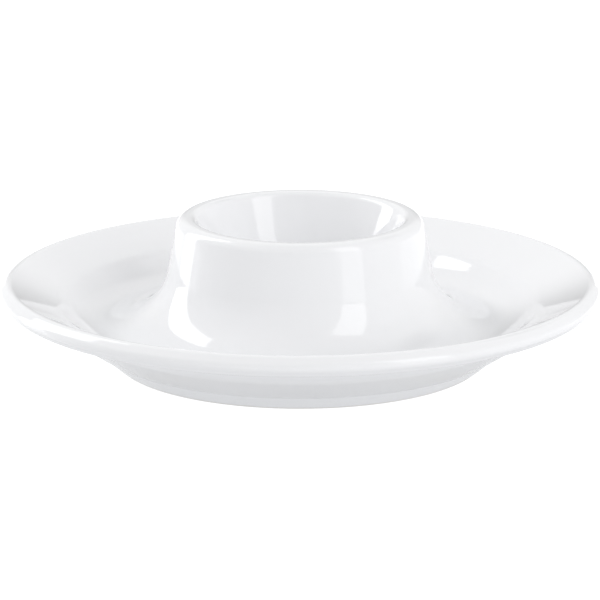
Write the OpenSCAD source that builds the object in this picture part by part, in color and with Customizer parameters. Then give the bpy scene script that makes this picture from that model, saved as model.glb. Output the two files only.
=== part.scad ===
// Egg cup with its own saucer, in glazed white porcelain.
// Every piece is turned about the Z axis. The table is at z = 0 and the egg goes in from above.
// Each outline is a list of corners [radius from the axis, height, rounding], run anticlockwise.

/* [Saucer] */
// Outer diameter of the saucer
saucer_d = 125; // [118:0.5:135]
// Height of the lip's crest, before its rounding
saucer_h = 17.55; // [16:0.05:19]
// Distance of the lip's crest from the outer edge
crest_in = 1.75; // [1.5:0.05:2.5]
// Drop of the lip's slanting top from the crest to the outer edge
lip_drop = 1.75; // [1.4:0.05:2]
// Height of the outer edge itself, before its roundings
edge_h = 1.2; // [1:0.05:1.6]
// Drop of the slant from the outer edge to the lip's underside
lip_under = 1.6; // [1:0.05:2.2]
// Distance of the lip's underside from the outer edge
lip_in = 1.5; // [1:0.1:2.2]
// Thickness of the rim at the well's shoulder
rim_wall = 3.3; // [3:0.05:3.8]
// Slope of the rim's underside in degrees, steeper than its top
rim_under_slope = 33.4; // [32:0.1:34.5]
// Diameter at which the well's floor turns up into its side
well_d = 89.8; // [85:0.1:94]
// How far the well's side reaches outwards, up to the shoulder where the flatter rim starts
well_side = 5.3; // [4.8:0.1:6]
// How far the well's side rises to that shoulder
well_side_rise = 4.45; // [3.8:0.05:4.8]
// Height of the well's floor above the table
well_h = 8; // [7:0.1:9.5]
// Thickness of the well's floor
floor_wall = 3.4; // [3:0.1:4]

/* [Cup] */
// Height of the whole egg cup
cup_h = 30.5; // [26:0.1:36]
// Outer diameter of the cup at its top, before the lip's rounding
cup_d = 50.8; // [46:0.1:56]
// How much further out the cup's straight wall would stand at the well's floor
wall_lean = 4.25; // [3:0.05:6]
// Width of the cup's lip, before its roundings
lip_w = 3.6; // [3:0.1:4.4]
// How much narrower the egg's seat would be at the bowl's floor, on each side
bowl_draft = 10; // [8:0.1:10.5]
// Height of the bowl's floor above the table
bowl_floor_h = 6.5; // [5.5:0.1:8]
// Thickness of the bowl under the egg
bowl_wall = 3.6; // [3:0.1:4]

/* [Foot] */
// Height of the foot ring
foot_h = 3.3; // [2.7:0.1:4]
// How much narrower the foot ring is on the table than at its top, on each side
foot_taper = 4; // [3:0.1:5]
// Width of the face that the egg cup stands on, before its roundings
foot_w = 3.2; // [2.4:0.1:4.2]

/* [Roundings] */
// Rounding between the cup's wall and the well
flare_r = 13.8; // [10:0.2:16]
// Rounding between the well's floor and its side
well_r = 11; // [5:0.5:13]
// Rounding of the shoulder between the well's side and the rim
shoulder_r = 9; // [3:0.5:15]
// Rounding of the saucer's crest
crest_r = 1.4; // [1:0.1:1.8]
// Rounding of the saucer's outer edge
edge_r = 1.2; // [0.8:0.1:1.4]
// Rounding under the saucer's lip
lip_low_r = 1.6; // [1:0.1:1.8]
// Rounding where the lip grows out of the rim below
lip_root_r = 3; // [1:0.1:4]
// Rounding of the cup's lip on the outside
cup_lip_r = 2.2; // [1.6:0.1:2.3]
// Rounding of the cup's lip on the inside
throat_r = 1.6; // [1:0.1:1.7]
// Rounding of the bowl's floor under the egg
bowl_r = 14; // [11:0.5:14.5]
// Rounding of the foot ring's outer edge
foot_edge_r = 0.6; // [0.3:0.1:1]
// Rounding of the foot ring's inner edge
foot_bore_r = 0.8; // [0.3:0.1:1.2]

/* [Joints] */
// Height of the bowl's lip above the face that it sits on
lip_h = 4; // [3:0.1:5]
// Width of the face that the bowl's lip sits on
lip_seat_w = 2.05; // [1.5:0.05:2.4]
// Gap for slip between the bowl and the cup's wall
slip_gap = 0.15; // [0.1:0.05:0.3]
// Height of the cup's seat on the saucer, above the well's floor
wall_seat_rise = 4; // [3:0.1:5]
// Depth of the straight socket that the bowl drops into
socket_depth = 8.5; // [6:0.5:11]
// Rounding at the foot of that socket
socket_foot_r = 12; // [8:0.5:16]
// How much further out than the cup's straight wall the hollow below opens
hollow_out = 4; // [3:0.1:5]

/* [Hidden] */
$fn = 96;
// Degrees between the points of a rounding
arc_step = 5;
glaze_colour = [0.93, 0.94, 0.95];

function spot(corner) = [corner[0], corner[1]];
function along(from, to) = (to - from) / norm(to - from);

// The well's side runs straight up to the shoulder, and the rim from there to the crest
well_edge = [well_d / 2, well_h];
shoulder = well_edge + [well_side, well_side_rise];
crest = [saucer_d / 2 - crest_in, saucer_h];
under_way = [cos(rim_under_slope), sin(rim_under_slope)];

// Radius of the rim's underside at a height, which passes the shoulder one rim thickness away
function rim_under(h) = shoulder[0] + (rim_wall + (h - shoulder[1]) * under_way[0]) / under_way[1];

// Outer radius of the cup's straight wall at a height
function wall_at(h) = cup_d / 2 + wall_lean * (cup_h - h) / (cup_h - well_h);

edge_top_h = saucer_h - lip_drop;
edge_low_h = edge_top_h - edge_h;
lip_low_h = edge_low_h - lip_under;
foot_r = rim_under(foot_h) - foot_taper;
foot_bore_in = foot_r - foot_w;
wall_seat_h = well_h + wall_seat_rise;
lip_seat_h = cup_h - lip_h;
socket_r = wall_at(lip_seat_h) - lip_seat_w;
hollow_mouth_r = min(wall_at(well_h) + hollow_out, foot_bore_in);
opening_r = cup_d / 2 - lip_w;
bowl_floor_r = opening_r - bowl_draft;
bowl_under_h = bowl_floor_h - bowl_wall;

bowl_outline = [
    [0, bowl_under_h, 0],
    [bowl_floor_r + bowl_wall, bowl_under_h, bowl_r + bowl_wall],
    [socket_r - slip_gap, lip_seat_h, 0],
    [wall_at(lip_seat_h), lip_seat_h, 0],
    [wall_at(cup_h), cup_h, cup_lip_r],
    [opening_r, cup_h, throat_r],
    [bowl_floor_r, bowl_floor_h, bowl_r],
    [0, bowl_floor_h, 0]
];

// The cup's wall and the saucer share one outline, which the wall's seat divides
dish_outline = [
    [foot_bore_in, foot_h, 0],
    [rim_under(foot_h), foot_h, 0],
    [rim_under(lip_low_h), lip_low_h, lip_root_r],
    [saucer_d / 2 - lip_in, lip_low_h, lip_low_r],
    [saucer_d / 2, edge_low_h, edge_r],
    [saucer_d / 2, edge_top_h, edge_r],
    [crest[0], crest[1], crest_r],
    [shoulder[0], shoulder[1], shoulder_r],
    [well_edge[0], well_edge[1], well_r],
    [wall_at(well_h), well_h, flare_r],
    [wall_at(lip_seat_h), lip_seat_h, 0],
    [socket_r, lip_seat_h, 0],
    [socket_r, lip_seat_h - socket_depth, socket_foot_r],
    [hollow_mouth_r, well_h - floor_wall, 0]
];

foot_outline = [
    [foot_bore_in, 0, foot_bore_r],
    [foot_r, 0, foot_edge_r],
    [rim_under(foot_h), foot_h, 0],
    [foot_bore_in, foot_h, 0]
];

// The corner's number of steps away from number i, counted round the closed outline
function near(outline, i, step) = outline[(i + step + len(outline)) % len(outline)];
function side(outline, i, step) = norm(spot(near(outline, i, step)) - spot(outline[i]));

// How far a corner's rounding takes up each of its two sides
function reach(outline, i) =
    let (
        tip = spot(near(outline, i, 0)),
        a = along(tip, spot(near(outline, i, -1))),
        b = along(tip, spot(near(outline, i, 1)))
    )
    near(outline, i, 0)[2] / tan(acos(a * b) / 2);

// The share of its rounding that a corner keeps, where its sides are too short for the whole
function kept_share(outline, i) =
    min([1, for (step = [-1, 1]) side(outline, i, step) / (reach(outline, i) + reach(outline, i + step))]);

// Points of the arc that rounds one corner, from the side it comes from to the side it goes on to
function arc(from, tip, to, r) =
    let (
        a = along(tip, from),
        b = along(tip, to),
        half = acos(a * b) / 2,
        centre = tip + along([0, 0], a + b) * r / sin(half),
        start = tip + a * r / tan(half) - centre,
        first = atan2(start[1], start[0]),
        sweep = sign(cross(b, a)) * (180 - 2 * half),
        steps = ceil(abs(sweep) / arc_step)
    )
    [for (k = [0 : steps]) centre + r * [cos(first + sweep * k / steps), sin(first + sweep * k / steps)]];

// The outline's points, with an arc in place of each rounded corner
function rounded(outline) = [
    for (i = [0 : len(outline) - 1])
        let (tip = spot(outline[i]), r = outline[i][2])
        each r > 0
            ? arc(spot(near(outline, i, -1)), tip, spot(near(outline, i, 1)), r * kept_share(outline, i))
            : [tip]
];

// Everything above the wall's seat and inside the well
module above_seat() {
    translate([0, wall_seat_h]) square([well_d / 2, cup_h]);
}

module egg_bowl() {
    color(glaze_colour) rotate_extrude() polygon(rounded(bowl_outline));
}

module cup_wall() {
    color(glaze_colour) rotate_extrude() intersection() {
        polygon(rounded(dish_outline));
        above_seat();
    }
}

module saucer() {
    color(glaze_colour) rotate_extrude() difference() {
        polygon(rounded(dish_outline));
        above_seat();
    }
}

module foot_ring() {
    color(glaze_colour) rotate_extrude() polygon(rounded(foot_outline));
}

egg_bowl();
cup_wall();
saucer();
foot_ring();
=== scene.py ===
# %% [markdown]
# # A glazed porcelain egg cup
# The egg cup and its saucer are one piece of white porcelain, shaped on a potter's wheel and dipped
# in clear glaze. Everything on it is round about one upright axis. White on white leaves nothing to
# look at but form, so the work goes into smooth curves, a believable glaze and light that draws the
# edges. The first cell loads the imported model. It is the frame: every piece made here stays where the
# frame says.

# %% Load the frame
import math

import bmesh
import bpy
from mathutils import Matrix, Vector


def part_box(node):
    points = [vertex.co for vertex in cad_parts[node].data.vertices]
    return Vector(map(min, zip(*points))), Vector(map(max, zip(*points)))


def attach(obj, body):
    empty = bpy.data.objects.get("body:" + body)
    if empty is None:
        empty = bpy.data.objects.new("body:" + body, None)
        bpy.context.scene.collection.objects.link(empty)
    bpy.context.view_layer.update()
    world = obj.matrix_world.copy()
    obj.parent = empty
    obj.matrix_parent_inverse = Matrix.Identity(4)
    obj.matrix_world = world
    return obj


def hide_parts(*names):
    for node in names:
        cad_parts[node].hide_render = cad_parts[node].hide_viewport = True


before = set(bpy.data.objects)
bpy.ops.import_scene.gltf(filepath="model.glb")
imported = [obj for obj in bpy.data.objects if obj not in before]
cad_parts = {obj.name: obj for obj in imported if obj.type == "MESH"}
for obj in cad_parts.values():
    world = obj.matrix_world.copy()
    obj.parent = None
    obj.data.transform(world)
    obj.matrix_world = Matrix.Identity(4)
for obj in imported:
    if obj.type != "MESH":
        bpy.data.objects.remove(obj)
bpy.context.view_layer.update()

mm = 0.001
print("CAD nodes:", sorted(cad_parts))

# %% [markdown]
# The photograph looks a little down on the egg cup through a long lens, from straight in front. A
# long lens flattens the circles into calm ellipses and keeps the front and the back of the saucer
# nearly the same size. The camera comes first, because every later choice is judged through it.

# %% Camera
camera_away = 800 * mm
camera_up = 225 * mm
camera_pitch = math.radians(14.88)
camera_lens = 237.6
camera_sensor = 36

camera_data = bpy.data.cameras.new("camera")
camera_data.lens = camera_lens
camera_data.sensor_width = camera_sensor
camera = bpy.data.objects.new("camera", camera_data)
camera.location = (0, -camera_away, camera_up)
camera.rotation_euler = (math.radians(90) - camera_pitch, 0, 0)
bpy.context.scene.collection.objects.link(camera)
bpy.context.scene.camera = camera
print("Camera:", [round(x, 3) for x in camera.location], "m, lens", camera_data.lens, "mm")

# %% [markdown]
# A turner cuts a profile, not a volume. So each piece here is a list of corners on one half of its
# section, as radius, height and rounding, and the sizes come from the frame where it holds them: the
# tops, seats and outer edges of the four pieces. The other sizes are the ones that the turner's
# template would carry.

# %% Sizes
bowl_low, bowl_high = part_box("egg_bowl")
wall_low, wall_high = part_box("cup_wall")
dish_low, dish_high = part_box("saucer")
foot_low, foot_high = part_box("foot_ring")

saucer_h = 17.55 * mm
crest_in = 1.75 * mm
lip_drop = 1.75 * mm
edge_h = 1.2 * mm
lip_under = 1.6 * mm
lip_in = 1.5 * mm
well_d = 89.8 * mm
well_side = 5.3 * mm
well_side_rise = 4.45 * mm
well_h = 8 * mm
floor_wall = 3.4 * mm
rim_under_slope = math.radians(33.4)
wall_lean = 4.25 * mm
lip_w = 3.6 * mm
bowl_draft = 10 * mm
bowl_floor_h = 6.5 * mm
foot_taper = 4 * mm
foot_w = 3.2 * mm
slip_gap = 0.15 * mm
lip_seat_w = 2.05 * mm
socket_depth = 8.5 * mm
hollow_out = 4 * mm

flare_r = 13.8 * mm
well_r = 11 * mm
shoulder_r = 9 * mm
crest_r = 1.4 * mm
edge_r = 1.2 * mm
lip_low_r = 1.6 * mm
lip_root_r = 3 * mm
cup_lip_r = 2.2 * mm
throat_r = 1.6 * mm
bowl_r = 14 * mm
socket_foot_r = 12 * mm
foot_edge_r = 0.6 * mm
foot_bore_r = 0.8 * mm

cup_h = bowl_high.z
lip_seat_h = wall_high.z
wall_seat_h = wall_low.z
foot_h = foot_high.z
saucer_r = dish_high.x
well_edge = Vector((well_d / 2, well_h))
shoulder = well_edge + Vector((well_side, well_side_rise))
crest = Vector((saucer_r - crest_in, saucer_h))
rim_slope = math.atan2(crest.y - shoulder.y, crest.x - shoulder.x)
wall_run = wall_lean / (cup_h - well_h)


def rim_under(height):
    """Radius of the sloping rim's underside, which is steeper than its top."""
    return foot_high.x + (height - foot_h) / math.tan(rim_under_slope)


def wall_at(height):
    """Outer radius of the cup's straight wall."""
    return bowl_high.x + (lip_seat_h - height) * wall_run


edge_top_h = saucer_h - lip_drop
edge_low_h = edge_top_h - edge_h
lip_low_h = edge_low_h - lip_under
foot_r = foot_high.x - foot_taper
foot_bore_in = foot_r - foot_w
socket_r = bowl_high.x - lip_seat_w
opening_r = wall_at(cup_h) - lip_w
bowl_floor_r = opening_r - bowl_draft
bowl_wall = bowl_floor_h - bowl_low.z
print("Cup", round(2 * wall_at(cup_h) / mm, 2), "mm wide at its top, rim slope",
      round(math.degrees(rim_slope), 2), "degrees")

# %% [markdown]
# The flare at the cup's foot runs across the seat between two pieces, but the glaze flows over that
# joint without a mark. The rounding is therefore shared out: two flatter corners on the arc's own
# tangent, one on each side of the joint, give the same arc in two stretches. A hair's breadth of each
# is left straight, so that both pieces end in the same direction and a reflection crosses the joint
# unbroken.

# %% Share a rounding between two pieces
joint_ease_share = 0.985


def share_rounding(before, tip, after, radius, height):
    """Two corners and a joint between them, at a height on the arc that rounds the corner tip."""
    to_before, to_after = (before - tip).normalized(), (after - tip).normalized()
    half = to_before.angle(to_after) / 2
    centre = tip + (to_before + to_after).normalized() * radius / math.sin(half)
    reach = radius / math.tan(half)
    ends = [(tip + way * reach - centre) / radius for way in (to_before, to_after)]
    down = (height - centre.y) / radius
    joint = Vector((math.copysign(math.sqrt(1 - down * down), ends[0].x + ends[1].x), down))
    corners = [centre + radius * (end + joint) / (1 + end.dot(joint)) for end in ends]
    return corners[0], centre + radius * joint, corners[1]


wall_base = Vector((wall_at(well_h), well_h))
wall_top = Vector((wall_at(lip_seat_h), lip_seat_h))
low_corner, wall_foot, high_corner = share_rounding(well_edge, wall_base, wall_top, flare_r, wall_seat_h)
print("The joint in the flare is at", [round(x / mm, 2) for x in wall_foot], "mm")

# %% [markdown]
# These are the four templates, each a walk round the section with the material on the left. A corner
# with no rounding is a seat or the end of a face. The bowl's walk starts and ends on the axis, and
# the others close.

# %% Outlines
hollow_mouth = Vector((min(wall_at(well_h) + hollow_out, foot_bore_in), well_h - floor_wall))
socket_foot = Vector((socket_r, lip_seat_h - socket_depth))
seat_share = (wall_seat_h - hollow_mouth.y) / (socket_foot.y - hollow_mouth.y)
seat_inner = hollow_mouth.lerp(socket_foot, seat_share)

outlines = {
    "egg_bowl": [
        (0, bowl_low.z, 0),
        (bowl_floor_r + bowl_wall, bowl_low.z, bowl_r + bowl_wall),
        (socket_r - slip_gap, lip_seat_h, 0),
        (wall_at(lip_seat_h), lip_seat_h, 0),
        (wall_at(cup_h), cup_h, cup_lip_r),
        (opening_r, cup_h, throat_r),
        (bowl_floor_r, bowl_floor_h, bowl_r),
        (0, bowl_floor_h, 0),
    ],
    "cup_wall": [
        (*seat_inner, 0),
        (*wall_foot, 0),
        (*high_corner, flare_r * joint_ease_share),
        (wall_at(lip_seat_h), lip_seat_h, 0),
        (socket_r, lip_seat_h, 0),
        (*socket_foot, socket_foot_r),
    ],
    "saucer": [
        (foot_bore_in, foot_h, 0),
        (rim_under(foot_h), foot_h, 0),
        (rim_under(lip_low_h), lip_low_h, lip_root_r),
        (saucer_r - lip_in, lip_low_h, lip_low_r),
        (saucer_r, edge_low_h, edge_r),
        (saucer_r, edge_top_h, edge_r),
        (*crest, crest_r),
        (*shoulder, shoulder_r),
        (*well_edge, well_r),
        (*low_corner, flare_r * joint_ease_share),
        (*wall_foot, 0),
        (*seat_inner, 0),
        (*hollow_mouth, 0),
    ],
    "foot_ring": [
        (foot_bore_in, 0, foot_bore_r),
        (foot_r, 0, foot_edge_r),
        (rim_under(foot_h), foot_h, 0),
        (foot_bore_in, foot_h, 0),
    ],
}
for name, outline in outlines.items():
    rounded = [corner for corner in outline if corner[2]]
    print(name, "has", len(outline), "corners,", len(rounded), "of them rounded")

# %% [markdown]
# A lathe is a rule, so Geometry Nodes make it: the outline becomes a curve, Fillet Curve rounds each
# corner by the radius stored on it, and Curve to Mesh carries the rounded outline round a circle. The
# outline stands upright in the XZ plane, and a quarter turn lays it flat the way Curve to Mesh wants
# its profile. The circle is tiny and the outline is moved in by as much, so that a radius of zero
# lands on the axis, where the points are merged into a closed pole. Edges sharper than the crease
# angle stay sharp, and the rest is shaded smooth.

# %% The lathe tree
path_r = 1 * mm
merge_distance = 0.001 * mm
quarter_turn = math.radians(90)


def add_node(tree, kind, settings=None, **values):
    """Adds a node with its settings and its inputs' values, where an underscore stands for a space."""
    made = tree.nodes.new(kind)
    for key, value in (settings or {}).items():
        setattr(made, key, value)
    for key, value in values.items():
        made.inputs[key.replace("_", " ")].default_value = value
    return made


def make_lathe():
    """Builds the tree that turns an outline about Z."""
    tree = bpy.data.node_groups.new("Lathe", "GeometryNodeTree")
    kinds = {"Outline": "Geometry", "Segments": "Int", "Crease": "Float", "Finish": "Material"}
    for title, kind in kinds.items():
        tree.interface.new_socket(title, in_out="INPUT", socket_type="NodeSocket" + kind)
    tree.interface.new_socket("Solid", in_out="OUTPUT", socket_type="NodeSocketGeometry")
    given = add_node(tree, "NodeGroupInput")
    curve = add_node(tree, "GeometryNodeMeshToCurve")
    rounding = add_node(tree, "GeometryNodeInputNamedAttribute", Name="rounding")
    steps = add_node(tree, "GeometryNodeInputNamedAttribute", {"data_type": "INT"}, Name="steps")
    fillet = add_node(tree, "GeometryNodeFilletCurve", {"mode": "POLY"}, Limit_Radius=True)
    lay_flat = add_node(tree, "GeometryNodeTransform",
                        Translation=(-path_r, 0, 0), Rotation=(quarter_turn, 0, 0))
    circle = add_node(tree, "GeometryNodeCurvePrimitiveCircle", Radius=path_r)
    sweep = add_node(tree, "GeometryNodeCurveToMesh")
    poles = add_node(tree, "GeometryNodeMergeByDistance", Distance=merge_distance)
    outward = add_node(tree, "GeometryNodeFlipFaces")
    smooth = add_node(tree, "GeometryNodeSetShadeSmooth")
    angle = add_node(tree, "GeometryNodeInputMeshEdgeAngle")
    is_crease = add_node(tree, "FunctionNodeCompare", {"operation": "GREATER_THAN"})
    sharp = add_node(tree, "GeometryNodeSetShadeSmooth", {"domain": "EDGE"}, Shade_Smooth=False)
    realize = add_node(tree, "GeometryNodeRealizeInstances")
    paint = add_node(tree, "GeometryNodeSetMaterial")
    result = add_node(tree, "NodeGroupOutput")
    for start, plug, end, socket in (
        (given, "Outline", curve, "Mesh"),
        (curve, "Curve", fillet, "Curve"),
        (rounding, "Attribute", fillet, "Radius"),
        (steps, "Attribute", fillet, "Count"),
        (fillet, "Curve", lay_flat, "Geometry"),
        (given, "Segments", circle, "Resolution"),
        (circle, "Curve", sweep, "Curve"),
        (lay_flat, "Geometry", sweep, "Profile Curve"),
        (sweep, "Mesh", poles, "Geometry"),
        (poles, "Geometry", outward, "Mesh"),
        (outward, "Mesh", smooth, "Geometry"),
        (smooth, "Geometry", sharp, "Geometry"),
        (angle, "Unsigned Angle", is_crease, "A"),
        (given, "Crease", is_crease, "B"),
        (is_crease, "Result", sharp, "Selection"),
        (sharp, "Geometry", realize, "Geometry"),
        (realize, "Geometry", paint, "Geometry"),
        (given, "Finish", paint, "Material"),
        (paint, "Geometry", result, "Solid"),
    ):
        tree.links.new(start.outputs[plug], end.inputs[socket])
    return tree


lathe = make_lathe()
lathe_inputs = {
    item.name: item.identifier for item in lathe.interface.items_tree if item.in_out == "INPUT"
}
print("The lathe has", len(lathe.nodes), "nodes and the inputs", list(lathe_inputs))

# %% [markdown]
# Porcelain under a clear glaze is a cool white body with a thin layer of glass on it. The glass is
# what the eye reads: it mirrors the lamps sharply and gives each edge its bright line. It is never
# quite flat, because it ran a little while it melted. One group gives that height in metres, from a
# noise as broad as a thumb and a finer one like orange peel, so that it can be set in real sizes. An
# image could do it too, but noise has no seam.

# %% Glaze flow
def link(tree, *wires):
    """Connects sockets, each wire being an output and an input."""
    for start, end in wires:
        tree.links.new(start, end)


def new_group(title, inputs, output):
    """A shader node group that reads a position and some numbers, with its input and output nodes."""
    tree = bpy.data.node_groups.new(title, "ShaderNodeTree")
    tree.interface.new_socket("Position", in_out="INPUT", socket_type="NodeSocketVector")
    for socket in inputs:
        tree.interface.new_socket(socket, in_out="INPUT", socket_type="NodeSocketFloat")
    tree.interface.new_socket(output, in_out="OUTPUT", socket_type="NodeSocketFloat")
    return tree, add_node(tree, "NodeGroupInput"), add_node(tree, "NodeGroupOutput")


def make_flow():
    """Builds the group that gives the height of an uneven surface, as two noises added up."""
    sizes = ("Broad Size", "Broad Depth", "Fine Size", "Fine Depth")
    tree, given, result = new_group("Glaze flow", sizes, "Height")
    total = None
    for grain in ("Broad", "Fine"):
        scale = add_node(tree, "ShaderNodeMath", {"operation": "DIVIDE"})
        scale.inputs[0].default_value = 1
        noise = add_node(tree, "ShaderNodeTexNoise", Detail=1)
        height = add_node(tree, "ShaderNodeMath", {"operation": "MULTIPLY_ADD"})
        height.inputs[2].default_value = 0
        link(tree, (given.outputs[grain + " Size"], scale.inputs[1]),
             (given.outputs["Position"], noise.inputs["Vector"]),
             (scale.outputs[0], noise.inputs["Scale"]), (noise.outputs[0], height.inputs[0]),
             (given.outputs[grain + " Depth"], height.inputs[1]))
        if total:
            link(tree, (total.outputs[0], height.inputs[2]))
        total = height
    link(tree, (total.outputs[0], result.inputs["Height"]))
    return tree


flow = make_flow()
print("Glaze flow has", len(flow.nodes), "nodes")

# %% [markdown]
# Melted glaze gathers in the low places. In the well and at the bottom of the bowl it stands thicker,
# and there it looks a little cooler; those low places are also painted darker, as painted shade in the
# well and the bowl. On the lips it thins out. A second group masks those low places by radius and
# height, which is enough for a turned shape, and a noise breaks the edge of the mask.

# %% Glaze pool
pool_and_shade_break_size = 30 * mm


def make_pool_and_shade():
    """Builds the group that masks what lies low inside a radius, and fades upwards from a floor."""
    tree, given, result = new_group("Glaze pool and painted shade", ("Radius", "Floor", "Rise", "Unevenness"), "Mask")
    flat = add_node(tree, "ShaderNodeVectorMath", {"operation": "MULTIPLY"})
    flat.inputs[1].default_value = (1, 1, 0)
    radius = add_node(tree, "ShaderNodeVectorMath", {"operation": "LENGTH"})
    parts = add_node(tree, "ShaderNodeSeparateXYZ")
    inside = add_node(tree, "ShaderNodeMath", {"operation": "SUBTRACT"})
    near_edge = add_node(tree, "ShaderNodeMapRange", {"interpolation_type": "SMOOTHSTEP"})
    above = add_node(tree, "ShaderNodeMath", {"operation": "SUBTRACT"})
    below_floor = add_node(tree, "ShaderNodeMath", {"operation": "ABSOLUTE"})
    fade = add_node(tree, "ShaderNodeMapRange", {"interpolation_type": "SMOOTHSTEP"}, To_Min=1, To_Max=0)
    noise = add_node(tree, "ShaderNodeTexNoise", Scale=1 / pool_and_shade_break_size, Detail=2)
    uneven = add_node(tree, "ShaderNodeMath", {"operation": "MULTIPLY"})
    left = add_node(tree, "ShaderNodeMath", {"operation": "SUBTRACT"})
    left.inputs[0].default_value = 1
    low = add_node(tree, "ShaderNodeMath", {"operation": "MULTIPLY"})
    mask = add_node(tree, "ShaderNodeMath", {"operation": "MULTIPLY"})
    link(tree, (given.outputs["Position"], flat.inputs[0]), (flat.outputs[0], radius.inputs[0]),
         (given.outputs["Radius"], inside.inputs[0]), (radius.outputs["Value"], inside.inputs[1]),
         (inside.outputs[0], near_edge.inputs["Value"]),
         (given.outputs["Rise"], near_edge.inputs["From Max"]),
         (given.outputs["Position"], parts.inputs[0]), (parts.outputs["Z"], above.inputs[0]),
         (given.outputs["Floor"], above.inputs[1]), (above.outputs[0], below_floor.inputs[0]),
         (below_floor.outputs[0], fade.inputs["Value"]), (given.outputs["Rise"], fade.inputs["From Max"]),
         (given.outputs["Position"], noise.inputs["Vector"]), (noise.outputs[0], uneven.inputs[0]),
         (given.outputs["Unevenness"], uneven.inputs[1]), (uneven.outputs[0], left.inputs[1]),
         (near_edge.outputs[0], low.inputs[0]), (fade.outputs[0], low.inputs[1]),
         (low.outputs[0], mask.inputs[0]), (left.outputs[0], mask.inputs[1]),
         (mask.outputs[0], result.inputs["Mask"]))
    return tree


pool_and_shade = make_pool_and_shade()
print("Glaze pool and painted shade has", len(pool_and_shade.nodes), "nodes")

# %% [markdown]
# The finish puts them together. The white under the glass is a little bluish, as feldspar porcelain
# is, and its gloss hazes over slightly here and there. Only the face that stood on the kiln's shelf
# is bare, because glaze would have stuck there: it is matt, warmer and finely grained, up to an
# uneven line just above the table. The numbers that hold all over sit on the shader itself.

# %% Finish
body_white = (0.87, 0.874, 0.888, 1)
# pooled glaze is a little cooler, and this white is also darker as painted shade in the well and the bowl
pooled_and_shaded_white = (0.825, 0.836, 0.856, 1)
bare_white = (0.80, 0.785, 0.76, 1)
glaze_index = 1.5
glaze_roughness = 0.05
glaze_haze = 0.025
haze_size = 14 * mm
bare_roughness = 0.6
glaze_line = 0.4 * mm
glaze_line_wander = 0.3 * mm
wander_size = 9 * mm
well_pool_and_shade_rise = 4 * mm
well_pool_and_shade_breaks = 0.6
bowl_pool_and_shade_rise = 5 * mm
bowl_pool_and_shade_breaks = 0.4
ripple_sizes = {
    "Broad_Size": 22 * mm,
    "Broad_Depth": 0.02 * mm,
    "Fine_Size": 2.4 * mm,
    "Fine_Depth": 0.0008 * mm,
}
grit_sizes = {
    "Broad_Size": 0.6 * mm,
    "Broad_Depth": 0.02 * mm,
    "Fine_Size": 0.2 * mm,
    "Fine_Depth": 0.01 * mm,
}


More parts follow.
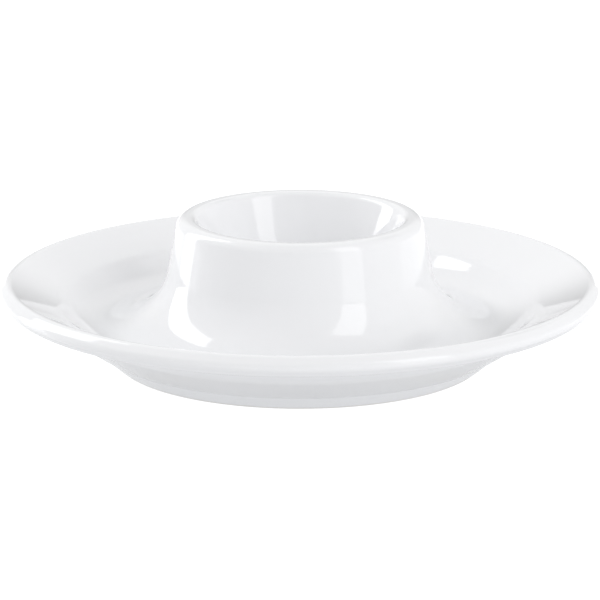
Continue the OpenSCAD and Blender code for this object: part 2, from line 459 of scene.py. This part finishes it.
def glazed_porcelain():
    """White porcelain under a clear glaze that ran a little, bare where it stood in the kiln."""
    made = bpy.data.materials.new("glazed_porcelain")
    made.use_nodes = True
    tree = made.node_tree
    shader = tree.nodes["Principled BSDF"]
    shader.inputs["IOR"].default_value = glaze_index
    place = add_node(tree, "ShaderNodeTexCoord")
    parts = add_node(tree, "ShaderNodeSeparateXYZ")
    wander = add_node(tree, "ShaderNodeTexNoise", Scale=1 / wander_size, Detail=2)
    line = add_node(tree, "ShaderNodeMath", {"operation": "MULTIPLY_ADD"})
    line.inputs[1].default_value = glaze_line_wander
    bare = add_node(tree, "ShaderNodeMapRange", {"interpolation_type": "SMOOTHSTEP"},
                    From_Min=glaze_line, From_Max=glaze_line + glaze_line_wander, To_Min=1, To_Max=0)
    # the well and the bowl bottom get the darker white: pooled glaze and painted shade
    well_pool_and_shade = add_node(tree, "ShaderNodeGroup", {"node_tree": pool_and_shade}, Radius=well_edge.x,
                         Floor=well_h, Rise=well_pool_and_shade_rise, Unevenness=well_pool_and_shade_breaks)
    bowl_pool_and_shade = add_node(tree, "ShaderNodeGroup", {"node_tree": pool_and_shade}, Radius=opening_r,
                         Floor=bowl_floor_h, Rise=bowl_pool_and_shade_rise, Unevenness=bowl_pool_and_shade_breaks)
    pooled_and_shaded = add_node(tree, "ShaderNodeMath", {"operation": "MAXIMUM"})
    glazed = add_node(tree, "ShaderNodeMix", {"data_type": "RGBA"})
    colour = add_node(tree, "ShaderNodeMix", {"data_type": "RGBA"})
    haze = add_node(tree, "ShaderNodeTexNoise", Scale=1 / haze_size, Detail=3)
    gloss = add_node(tree, "ShaderNodeMath", {"operation": "MULTIPLY_ADD"})
    gloss.inputs[1].default_value = glaze_haze
    gloss.inputs[2].default_value = glaze_roughness
    roughness = add_node(tree, "ShaderNodeMix", {"data_type": "FLOAT"})
    roughness.inputs["B"].default_value = bare_roughness
    ripple = add_node(tree, "ShaderNodeGroup", {"node_tree": flow}, **ripple_sizes)
    grit = add_node(tree, "ShaderNodeGroup", {"node_tree": flow}, **grit_sizes)
    height = add_node(tree, "ShaderNodeMix", {"data_type": "FLOAT"})
    bump = add_node(tree, "ShaderNodeBump", Strength=1, Distance=1)
    for socket, value in ((glazed.inputs[6], body_white), (glazed.inputs[7], pooled_and_shaded_white),
                          (colour.inputs[7], bare_white)):
        socket.default_value = value
    for reader in (wander, haze):
        link(tree, (place.outputs["Object"], reader.inputs["Vector"]))
    for reader in (well_pool_and_shade, bowl_pool_and_shade, ripple, grit):
        link(tree, (place.outputs["Object"], reader.inputs["Position"]))
    link(tree, (place.outputs["Object"], parts.inputs[0]), (wander.outputs[0], line.inputs[0]),
         (parts.outputs["Z"], line.inputs[2]), (line.outputs[0], bare.inputs["Value"]),
         (well_pool_and_shade.outputs[0], pooled_and_shaded.inputs[0]), (bowl_pool_and_shade.outputs[0], pooled_and_shaded.inputs[1]),
         (pooled_and_shaded.outputs[0], glazed.inputs["Factor"]), (glazed.outputs[2], colour.inputs[6]),
         (bare.outputs[0], colour.inputs["Factor"]), (colour.outputs[2], shader.inputs["Base Color"]),
         (haze.outputs[0], gloss.inputs[0]), (gloss.outputs[0], roughness.inputs["A"]),
         (bare.outputs[0], roughness.inputs["Factor"]), (roughness.outputs[0], shader.inputs["Roughness"]),
         (ripple.outputs[0], height.inputs["A"]), (grit.outputs[0], height.inputs["B"]),
         (bare.outputs[0], height.inputs["Factor"]), (height.outputs[0], bump.inputs["Height"]),
         (bump.outputs[0], shader.inputs["Normal"]))
    return made


porcelain = glazed_porcelain()
print("The finish has", len(porcelain.node_tree.nodes), "nodes")

# %% [markdown]
# Now the outlines are turned. An outline could be spun in mesh code too, but the tree can be changed
# and run again, and it stores nothing but corners. Each result is made a plain mesh that takes the
# place of its CAD piece, and its volume and open edges show whether it closed.

# %% Turn the pieces
arc_step = math.radians(2)
segments = 288
crease = math.radians(35)


def draw_outline(name, outline):
    """The outline as a thin object in the XZ plane, with each corner's rounding and steps on its point."""
    closed = outline[0][0] > 0
    count = len(outline)
    mesh = bpy.data.meshes.new(name)
    edges = [(i, (i + 1) % count) for i in range(count if closed else count - 1)]
    mesh.from_pydata([(radius, 0, height) for radius, height, _ in outline], edges, [])
    steps = []
    for i in range(count):
        here, before, after = (Vector(outline[k % count][:2]) for k in (i, i - 1, i + 1))
        turned = math.pi - (before - here).angle(after - here, math.pi)
        steps.append(max(1, math.ceil(turned / arc_step)))
    roundings = [corner[2] for corner in outline]
    for title, kind, values in (("rounding", "FLOAT", roundings), ("steps", "INT", steps)):
        mesh.attributes.new(title, kind, "POINT").data.foreach_set("value", values)
    drawn = bpy.data.objects.new(name, mesh)
    bpy.context.scene.collection.objects.link(drawn)
    return drawn


def turn(node, name, finish):
    """Turns a node's outline, makes the result a plain mesh that stands for the node, and measures it."""
    drawn = draw_outline(name, outlines[node])
    modifier = drawn.modifiers.new("Lathe", "NODES")
    modifier.node_group = lathe
    modifier[lathe_inputs["Segments"]] = segments
    modifier[lathe_inputs["Crease"]] = crease
    modifier[lathe_inputs["Finish"]] = finish
    graph = bpy.context.evaluated_depsgraph_get()
    turned = bpy.data.meshes.new_from_object(drawn.evaluated_get(graph), depsgraph=graph)
    drawn.modifiers.remove(modifier)
    drawn.data = turned
    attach(drawn, "root")
    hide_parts(node)
    probe = bmesh.new()
    probe.from_mesh(turned)
    open_edges = sum(1 for edge in probe.edges if len(edge.link_faces) != 2)
    print(name, len(turned.polygons), "faces,", round(probe.calc_volume(signed=True) / mm**3), "mm3,",
          open_edges, "open edges")
    probe.free()
    return drawn


pieces = [turn(node, "turned_" + node, porcelain) for node in outlines]

# %% [markdown]
# The egg cup stands on a pale, glossy sheet that is lit a little from below, as small white ware
# often is. That light is what keeps the underside of the rim and the foot ring open. For the camera,
# and in reflections, the sheet is lifted to white. A sheet that glows doesn't darken by itself under
# the saucer, though, and the glaze there would mirror it too brightly. So the glow that is mirrored
# fades towards the foot.

# %% Floor
floor_half = 3
floor_grey = 0.3
floor_roughness = 0.15
floor_tint = (0.975, 0.985, 1, 1)
floor_glow = 0.55
floor_lift = 0.29
floor_shade = 0.31
shade_full_r = 50 * mm
shade_end_r = 78 * mm

floor_paint = bpy.data.materials.new("floor")
floor_paint.use_nodes = True
tree = floor_paint.node_tree
sheet = tree.nodes["Principled BSDF"]
sheet.inputs["Base Color"].default_value = (floor_grey, floor_grey, floor_grey, 1)
sheet.inputs["Roughness"].default_value = floor_roughness
sheet.inputs["Emission Color"].default_value = floor_tint
ray = add_node(tree, "ShaderNodeLightPath")
mirrored = add_node(tree, "ShaderNodeMath", {"operation": "MAXIMUM"})
through = add_node(tree, "ShaderNodeMath", {"operation": "MAXIMUM"})
glow = add_node(tree, "ShaderNodeMath", {"operation": "MULTIPLY_ADD"})
glow.inputs[1].default_value = floor_lift
glow.inputs[2].default_value = floor_glow
place = add_node(tree, "ShaderNodeTexCoord")
reach = add_node(tree, "ShaderNodeVectorMath", {"operation": "LENGTH"})
shade = add_node(tree, "ShaderNodeMapRange", {"interpolation_type": "SMOOTHSTEP"},
                 From_Min=shade_full_r, From_Max=shade_end_r, To_Min=floor_shade, To_Max=0)
mirrored_shade = add_node(tree, "ShaderNodeMath", {"operation": "MULTIPLY"})
shaded_glow = add_node(tree, "ShaderNodeMath", {"operation": "SUBTRACT"})
link(tree, (ray.outputs["Is Camera Ray"], mirrored.inputs[0]),
     (ray.outputs["Is Glossy Ray"], mirrored.inputs[1]),
     (mirrored.outputs[0], through.inputs[0]), (ray.outputs["Is Transmission Ray"], through.inputs[1]),
     (through.outputs[0], glow.inputs[0]),
     (place.outputs["Object"], reach.inputs[0]), (reach.outputs["Value"], shade.inputs["Value"]),
     (shade.outputs["Result"], mirrored_shade.inputs[0]),
     (ray.outputs["Is Glossy Ray"], mirrored_shade.inputs[1]),
     (glow.outputs[0], shaded_glow.inputs[0]), (mirrored_shade.outputs[0], shaded_glow.inputs[1]),
     (shaded_glow.outputs[0], sheet.inputs["Emission Strength"]))

corners = [(x * floor_half, y * floor_half, 0) for x, y in ((-1, -1), (1, -1), (1, 1), (-1, 1))]
floor_mesh = bpy.data.meshes.new("floor")
floor_mesh.from_pydata(corners, [], [(0, 1, 2, 3)])
floor_mesh.materials.append(floor_paint)
floor = bpy.data.objects.new("floor", floor_mesh)
bpy.context.scene.collection.objects.link(floor)
print("The floor is", 2 * floor_half, "m wide")

# %% [markdown]
# Glaze shows its surroundings, so the studio is built as much for the mirror as for the light.
# Directions are written as the photographer would pace them out: an azimuth from straight behind the
# egg cup, clockwise, and an elevation. The walls are even but for a few soft patches, each given as
# left, right, low and high in degrees, the width of its soft edge, and how much it adds to the walls
# or takes away. The dark gap straight behind gives the well its shadows, and the dark corner draws
# the soft oval on the left. Reflections see the walls lifted to white, and the camera sees plain
# white.

# %% Studio walls
wall_level = 0.855
mirror_lift = 0.145
seen_level = 1
wall_patches = {
    "foot of the backdrop": (-12, 13, -20, 16, 10, -0.66),
    "corner behind on the right": (28, 56, 38, 52, 7, -0.8),
    "glow on the right": (44, 112, -20, 38, 12, 0.2),
    "ceiling": (-200, 200, 68, 120, 14, -0.4),
    "right of the camera": (148, 200, -20, 66, 3, -0.2),
    "left of the camera": (-200, -165, -20, 66, 3, -0.2),
}


def make_patch():
    """Builds the group that masks a soft-edged patch of directions."""
    tree = bpy.data.node_groups.new("Wall patch", "ShaderNodeTree")
    for title in ("Azimuth", "Elevation", "Left", "Right", "Low", "High", "Softness"):
        tree.interface.new_socket(title, in_out="INPUT", socket_type="NodeSocketFloat")
    tree.interface.new_socket("Mask", in_out="OUTPUT", socket_type="NodeSocketFloat")
    given = add_node(tree, "NodeGroupInput")
    result = add_node(tree, "NodeGroupOutput")
    mask = None
    for angle, low, high in (("Azimuth", "Left", "Right"), ("Elevation", "Low", "High")):
        for start, end in ((angle, low), (high, angle)):
            inside = add_node(tree, "ShaderNodeMath", {"operation": "SUBTRACT"})
            edge = add_node(tree, "ShaderNodeMapRange", {"interpolation_type": "SMOOTHSTEP"})
            outside = add_node(tree, "ShaderNodeMath", {"operation": "MULTIPLY"})
            outside.inputs[1].default_value = -1
            link(tree, (given.outputs[start], inside.inputs[0]), (given.outputs[end], inside.inputs[1]),
                 (inside.outputs[0], edge.inputs["Value"]), (given.outputs["Softness"], outside.inputs[0]),
                 (outside.outputs[0], edge.inputs["From Min"]),
                 (given.outputs["Softness"], edge.inputs["From Max"]))
            if mask is None:
                mask = edge
                continue
            both = add_node(tree, "ShaderNodeMath", {"operation": "MULTIPLY"})
            link(tree, (mask.outputs[0], both.inputs[0]), (edge.outputs[0], both.inputs[1]))
            mask = both
    link(tree, (mask.outputs[0], result.inputs["Mask"]))
    return tree


wall_patch = make_patch()
world = bpy.data.worlds.new("studio")
bpy.context.scene.world = world
world.use_nodes = True
tree = world.node_tree
way = add_node(tree, "ShaderNodeTexCoord")
parts = add_node(tree, "ShaderNodeSeparateXYZ")
azimuth = add_node(tree, "ShaderNodeMath", {"operation": "ARCTAN2"})
elevation = add_node(tree, "ShaderNodeMath", {"operation": "ARCSINE"})
azimuth_degrees = add_node(tree, "ShaderNodeMath", {"operation": "DEGREES"})
elevation_degrees = add_node(tree, "ShaderNodeMath", {"operation": "DEGREES"})
link(tree, (way.outputs["Generated"], parts.inputs[0]), (parts.outputs["X"], azimuth.inputs[0]),
     (parts.outputs["Y"], azimuth.inputs[1]), (parts.outputs["Z"], elevation.inputs[0]),
     (azimuth.outputs[0], azimuth_degrees.inputs[0]), (elevation.outputs[0], elevation_degrees.inputs[0]))
ray = add_node(tree, "ShaderNodeLightPath")
level = add_node(tree, "ShaderNodeMath", {"operation": "MULTIPLY_ADD"})
level.inputs[1].default_value = mirror_lift
level.inputs[2].default_value = wall_level
link(tree, (ray.outputs["Is Glossy Ray"], level.inputs[0]))
for left, right, low, high, softness, gain in wall_patches.values():
    patch = add_node(tree, "ShaderNodeGroup", {"node_tree": wall_patch},
                     Left=left, Right=right, Low=low, High=high, Softness=softness)
    add = add_node(tree, "ShaderNodeMath", {"operation": "MULTIPLY_ADD"})
    add.inputs[1].default_value = gain
    link(tree, (azimuth_degrees.outputs[0], patch.inputs["Azimuth"]), (level.outputs[0], add.inputs[2]),
         (elevation_degrees.outputs[0], patch.inputs["Elevation"]), (patch.outputs["Mask"], add.inputs[0]))
    level = add
seen = add_node(tree, "ShaderNodeMath", {"operation": "MAXIMUM"})
strength = add_node(tree, "ShaderNodeMix", {"data_type": "FLOAT"})
strength.inputs["B"].default_value = seen_level
link(tree, (ray.outputs["Is Camera Ray"], seen.inputs[0]),
     (ray.outputs["Is Transmission Ray"], seen.inputs[1]),
     (seen.outputs[0], strength.inputs["Factor"]), (level.outputs[0], strength.inputs["A"]),
     (strength.outputs["Result"], tree.nodes["Background"].inputs["Strength"]))
tree.nodes["Background"].inputs["Color"].default_value = (1, 1, 1, 1)
print(len(wall_patches), "patches on the studio's walls")

# %% [markdown]
# Two tall softboxes do the rest. The one behind on the left draws the long highlight down the cup's
# shoulder and runs along the saucer's lip. The one in front on the right leans a little and stands in
# two panels, the lower one dimmer. Each casts the cup's soft shadow into the opposite side of the
# well.

# %% Softboxes
lamp_distance = 1.2


def softbox(name, azimuth, low, high, spread, brightness, lean=0):
    """A tall lamp that faces the egg cup, between two elevations and as wide as its spread, in degrees."""
    azimuth, middle, half = (math.radians(x) for x in (azimuth, (low + high) / 2, (high - low) / 2))
    data = bpy.data.lights.new(name, "AREA")
    data.shape = "RECTANGLE"
    data.size = 2 * lamp_distance * math.tan(math.radians(spread) / 2)
    data.size_y = 2 * lamp_distance * math.tan(half)
    data.energy = math.pi * brightness * data.size * data.size_y
    lamp = bpy.data.objects.new(name, data)
    across = math.cos(middle)
    way = Vector((math.sin(azimuth) * across, math.cos(azimuth) * across, math.sin(middle)))
    lamp.location = lamp_distance * way
    facing = (-lamp.location).to_track_quat("-Z", "Y").to_matrix()
    lamp.rotation_euler = (facing @ Matrix.Rotation(math.radians(lean), 3, "Z")).to_euler()
    lamp.visible_camera = False
    bpy.context.scene.collection.objects.link(lamp)
    print(name, "is", round(data.size, 2), "by", round(data.size_y, 2), "m,", round(data.energy, 1), "W")


softbox("left_softbox", azimuth=-61, low=-6, high=56, spread=20, brightness=3.3)
softbox("right_softbox", azimuth=131.5, low=11, high=60, spread=21, brightness=2.2, lean=-6)
softbox("right_softbox_low", azimuth=133, low=-6, high=9, spread=21, brightness=1.1)
bpy.context.scene.view_settings.view_transform = "Standard"
